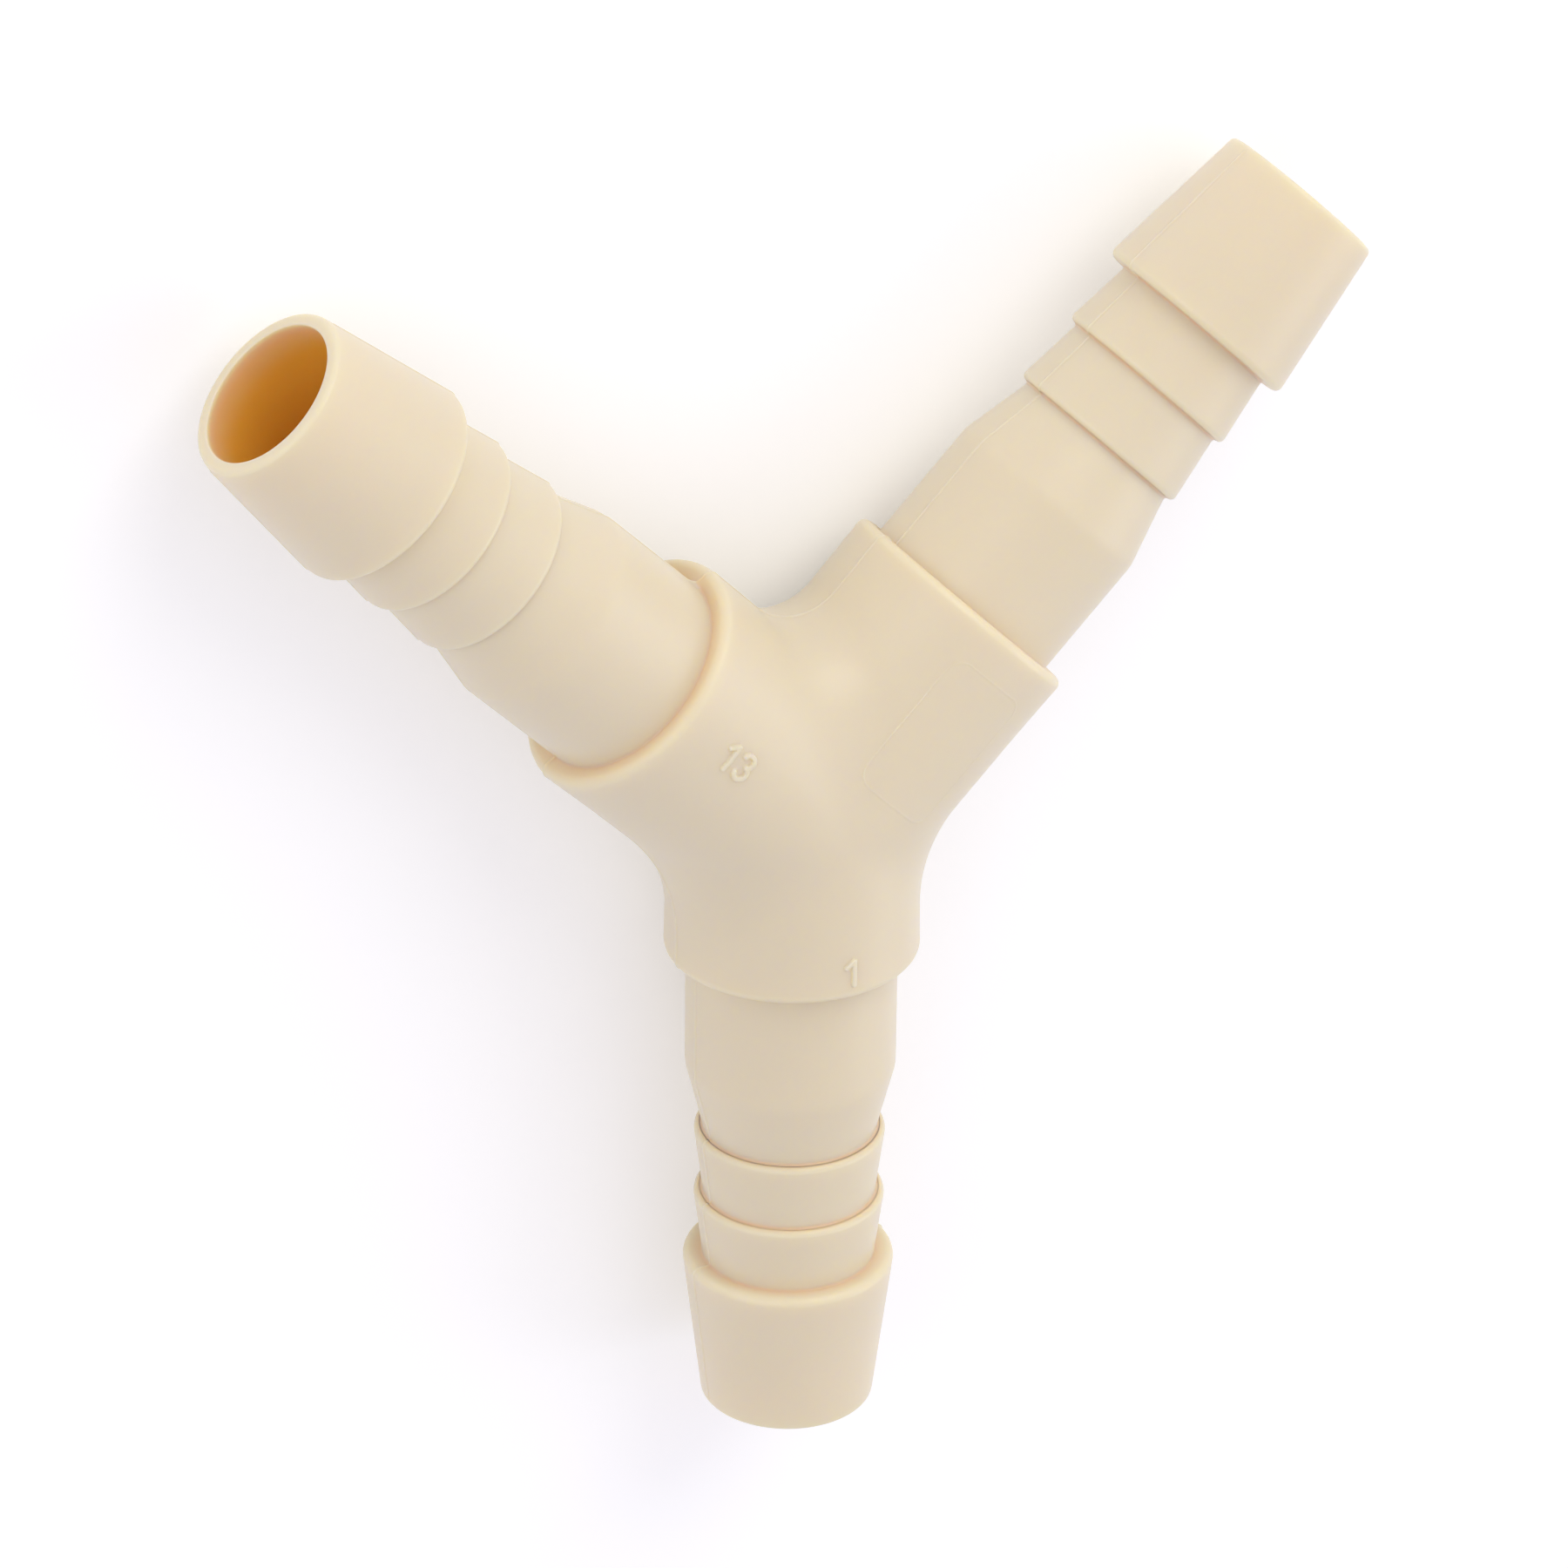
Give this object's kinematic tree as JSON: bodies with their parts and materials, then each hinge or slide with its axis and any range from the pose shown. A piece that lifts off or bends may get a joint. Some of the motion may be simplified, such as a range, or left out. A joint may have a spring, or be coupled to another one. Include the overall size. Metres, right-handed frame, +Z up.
{
  "type": "tubing y connector",
  "caption": "One-piece moulded plastic Y connector with three barbed tails for 13 mm tubing, two branches at 90 degrees to each other and a stem at 135 degrees to both.",
  "frame": {"origin": "centre of the part's bounding box in X and Y, on the flat surface that the three collars rest on", "axes": "+Z up from that surface, the three arms lie in a plane parallel to XY, -Y runs out along the stem, the branches lie at 45 degrees either side of +Y"},
  "size_m": [0.0818, 0.0865, 0.0172],
  "materials": {
    "polypropylene": "as moulded, fine satin"
  },
  "bodies": {
    "root": {"y_connector": "polypropylene"}
  },
  "joints": []
}
